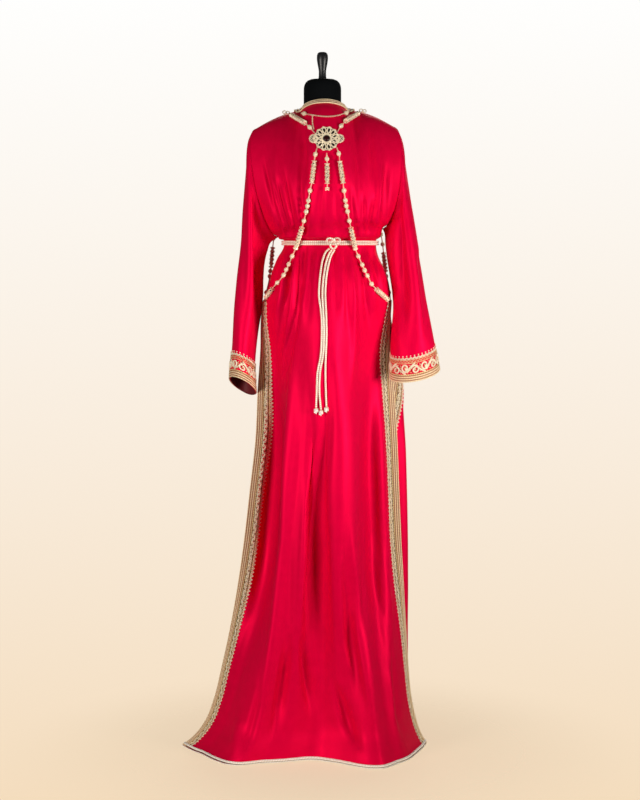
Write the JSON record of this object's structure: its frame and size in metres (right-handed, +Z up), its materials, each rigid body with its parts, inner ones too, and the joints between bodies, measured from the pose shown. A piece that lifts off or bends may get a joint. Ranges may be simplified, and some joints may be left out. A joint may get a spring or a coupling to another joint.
{
  "type": "moroccan kaftan on dress form",
  "caption": "Long satin kaftan with corded and embroidered edges, twisted cord belt and gilt back ornament, on a limbless dress form with a stand.",
  "frame": {"origin": "middle of the underside of the stand's round base, on the floor", "axes": "+Z up; +Y towards the front of the garment; +X to the right when looking at its back"},
  "size_m": [0.6465, 0.3709, 1.7388],
  "materials": {
    "red_satin": "satin",
    "gold_trim": "metallic braid",
    "cream_cord": "silky cord",
    "gilt_metal": "filigree",
    "dark_stone": "polished",
    "black_jersey": "matt",
    "black_metal": "satin"
  },
  "bodies": {
    "root": {"back_panel": "red_satin", "belt_cord_lower": "cream_cord", "belt_cord_upper": "cream_cord", "belt_knot": "cream_cord", "belt_tail_1": "cream_cord", "belt_tail_2": "cream_cord", "belt_tail_3": "cream_cord", "belt_tail_knot_1": "cream_cord", "belt_tail_knot_2": "cream_cord", "belt_tail_knot_3": "cream_cord", "cuff_left": "gold_trim", "cuff_right": "gold_trim", "drop_chain": "gilt_metal", "form_base": "black_metal", "form_finial": "black_metal", "form_neck_cap": "black_jersey", "form_pole": "black_metal", "form_torso": "black_jersey", "front_left": "red_satin", "front_right": "red_satin", "hem_piping_back": "cream_cord", "hem_piping_front_left": "cream_cord", "hem_piping_front_right": "cream_cord", "medallion": "gilt_metal", "medallion_stone": "dark_stone", "neck_chain": "gilt_metal", "neck_cord_1": "cream_cord", "neck_cord_2": "cream_cord", "neck_cord_3": "cream_cord", "pendant": "gilt_metal", "sleeve_left": "red_satin", "sleeve_right": "red_satin", "slit_trim_back_left": "gold_trim", "slit_trim_back_right": "gold_trim", "slit_trim_front_left": "gold_trim", "slit_trim_front_right": "gold_trim", "strand_front_left": "gilt_metal", "strand_front_right": "gilt_metal", "strand_lower_left": "gilt_metal", "strand_lower_right": "gilt_metal", "strand_upper_left": "gilt_metal", "strand_upper_right": "gilt_metal"}
  },
  "joints": []
}
